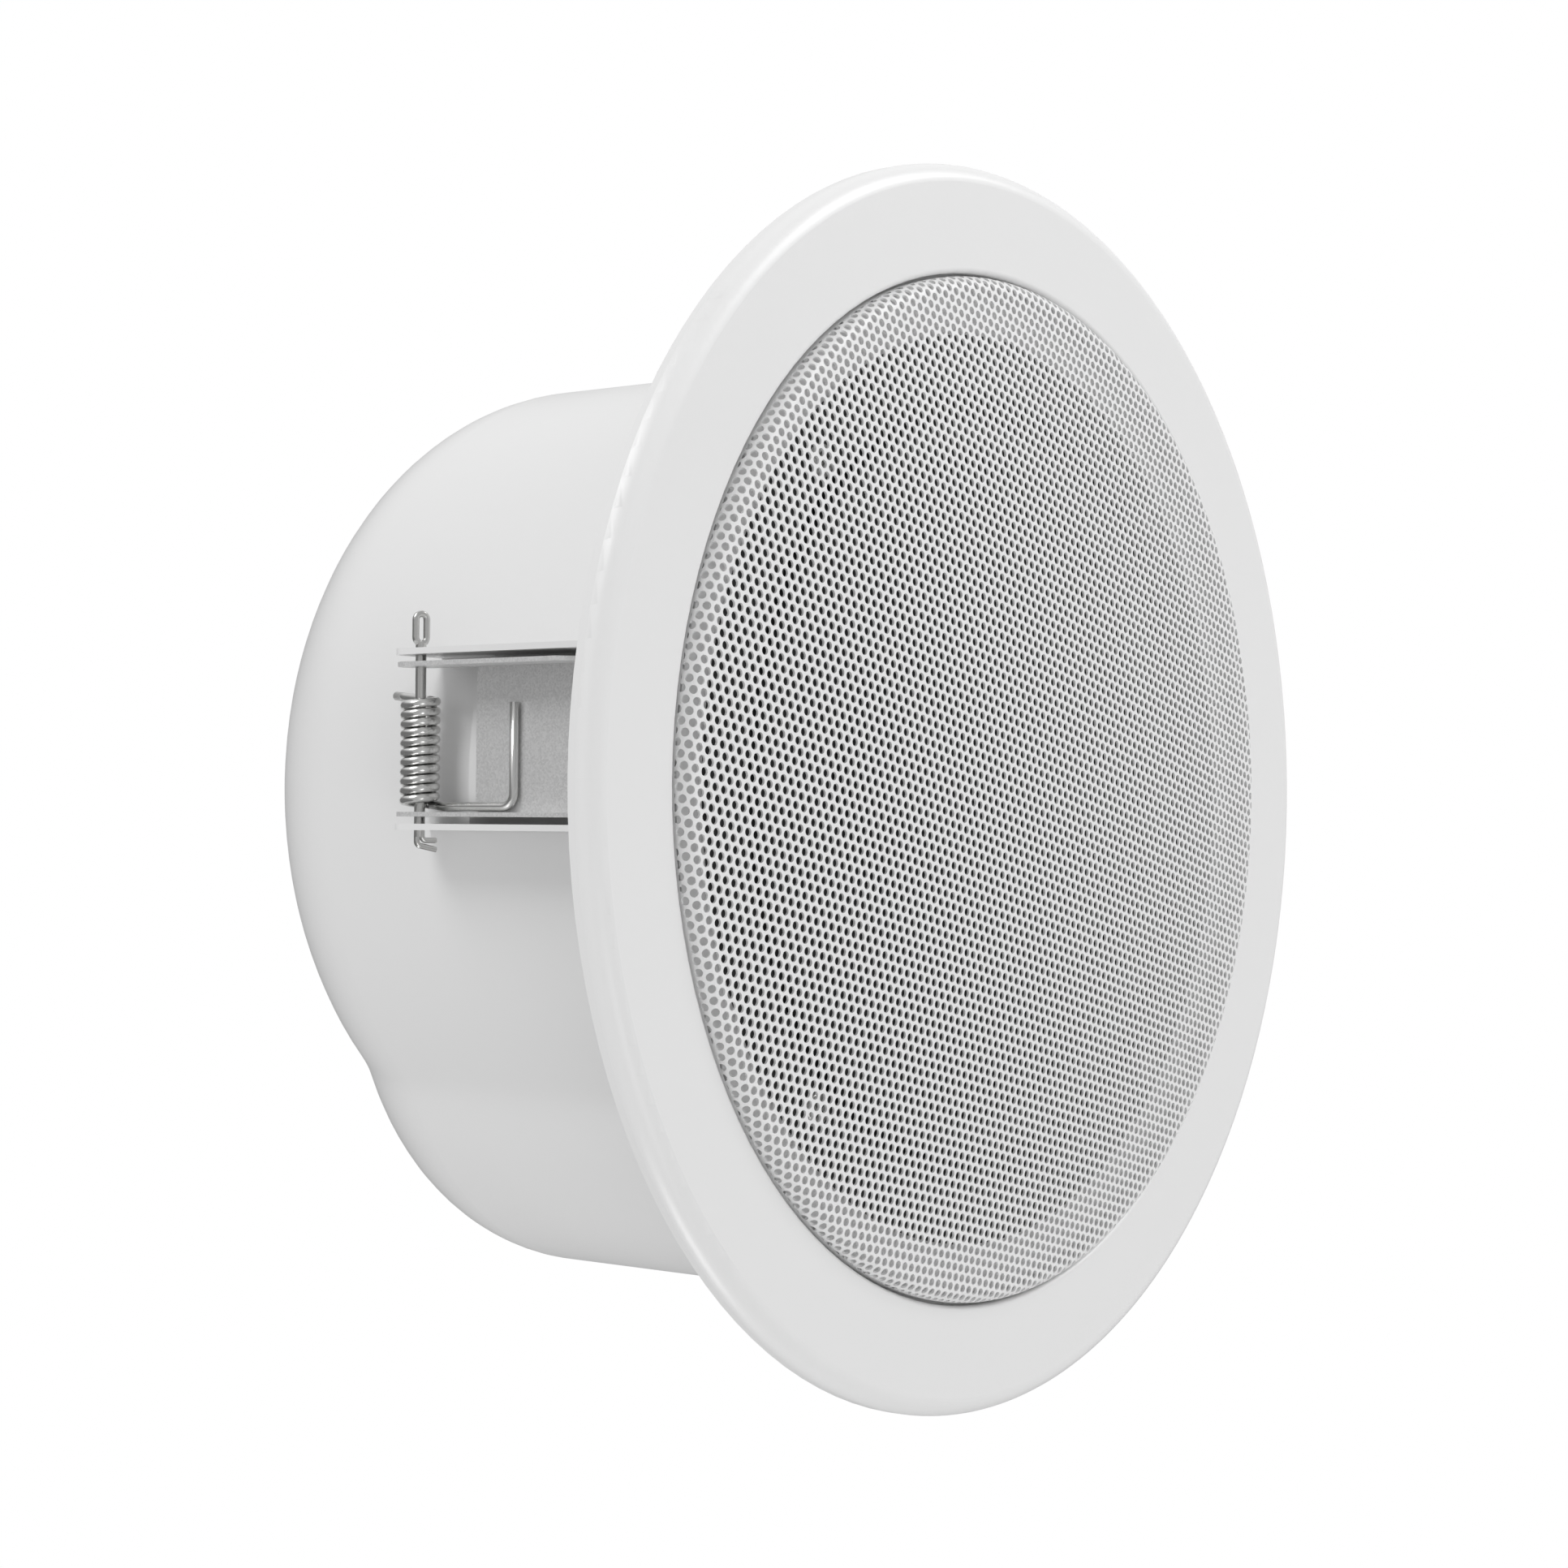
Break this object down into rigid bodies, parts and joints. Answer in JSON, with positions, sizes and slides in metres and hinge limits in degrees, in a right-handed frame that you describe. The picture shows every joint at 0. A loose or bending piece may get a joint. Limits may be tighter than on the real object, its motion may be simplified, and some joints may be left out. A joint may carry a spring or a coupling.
{
  "type": "in ceiling speaker",
  "caption": "Flush ceiling loudspeaker: domed perforated grille in a round trim ring, lobed enamelled back can and two sprung lever clamps that grip the ceiling panel.",
  "frame": {"origin": "Centre of the trim ring's rear face, the plane that lies against the underside of the ceiling panel.", "axes": "+Z is the axis of ring, grille and driver, up into the ceiling void, and -Z points down into the room. +X runs through the two spring clamps. -Y points to the can's lobe, with the line transformer in it."},
  "size_m": [0.23, 0.23, 0.1302],
  "materials": {
    "painted_ring": "glossy off-white powder coat",
    "painted_grille": "satin off-white powder coat on perforated sheet",
    "painted_can": "glossy off-white enamel on drawn sheet",
    "zinc_sheet": "spangled galvanised sheet with raw cut edges",
    "spring_steel": "bright drawn wire",
    "screw_steel": "zinc-plated steel",
    "frame_black": "satin black paint on pressed sheet",
    "magnet_ferrite": "dark sintered ferrite",
    "plated_iron": "zinc-plated mild steel",
    "paper_cone": "dark pressed paper pulp",
    "surround_rubber": "matt black rubber",
    "spider_cloth": "resin-dipped yellow cloth",
    "copper_wire": "enamelled copper wire",
    "card": "black gasket card",
    "board": "brown laminate board",
    "brass": "plain brass",
    "lamination": "dark varnished steel sheet",
    "bobbin_nylon": "natural nylon",
    "winding_tape": "yellow wrapping tape",
    "steatite": "off-white ceramic",
    "grommet_rubber": "matt black rubber"
  },
  "bodies": {
    "housing": {"flange_ring": "painted_ring", "grille": "painted_grille", "back_can": "painted_can", "driver_frame": "frame_black", "driver_screws": "screw_steel", "driver_gasket": "card", "surround": "surround_rubber", "spider": "spider_cloth", "top_plate": "plated_iron", "magnet": "magnet_ferrite", "back_plate_with_pole": "plated_iron", "terminal_strip": "board", "terminal_tabs": "brass", "bracket_right": "painted_can", "bracket_left": "painted_can", "torsion_spring_right": "spring_steel", "torsion_spring_left": "spring_steel", "split_pin_right": "screw_steel", "split_pin_left": "screw_steel", "transformer_core": "lamination", "transformer_bobbin": "bobbin_nylon", "transformer_winding": "winding_tape", "transformer_yoke": "zinc_sheet", "transformer_screws": "screw_steel", "transformer_nuts": "screw_steel", "terminal_block": "steatite", "block_inserts": "brass", "block_screws": "screw_steel", "block_fixings": "screw_steel", "cable_grommet": "grommet_rubber"},
    "clamp_lever_right": {"lever_right": "zinc_sheet"},
    "clamp_lever_left": {"lever_left": "zinc_sheet"},
    "moving_cone": {"cone": "paper_cone", "dust_cap": "paper_cone", "coil_former": "board", "coil_winding": "copper_wire"}
  },
  "joints": [
    {"name": "clamp_right", "type": "hinge", "parent": "housing", "child": "clamp_lever_right", "pos_m": [0.0875, 0.0075, 0.0592], "axis": [0, -1, 0], "range_deg": [0, 180], "stiffness_Nm_per_rad": 0.15, "springref_deg": -60.16, "deforming": ["torsion_spring_right"]},
    {"name": "clamp_left", "type": "hinge", "parent": "housing", "child": "clamp_lever_left", "pos_m": [-0.0875, 0.0075, 0.0592], "axis": [0, 1, 0], "range_deg": [0, 180], "stiffness_Nm_per_rad": 0.15, "springref_deg": -60.16, "deforming": ["torsion_spring_left"]},
    {"name": "cone_travel", "type": "slide", "parent": "housing", "child": "moving_cone", "axis": [0, 0, 1], "range_m": [-0.0025, 0.0025], "stiffness_N_per_m": 1800, "deforming": ["surround", "spider"]}
  ]
}
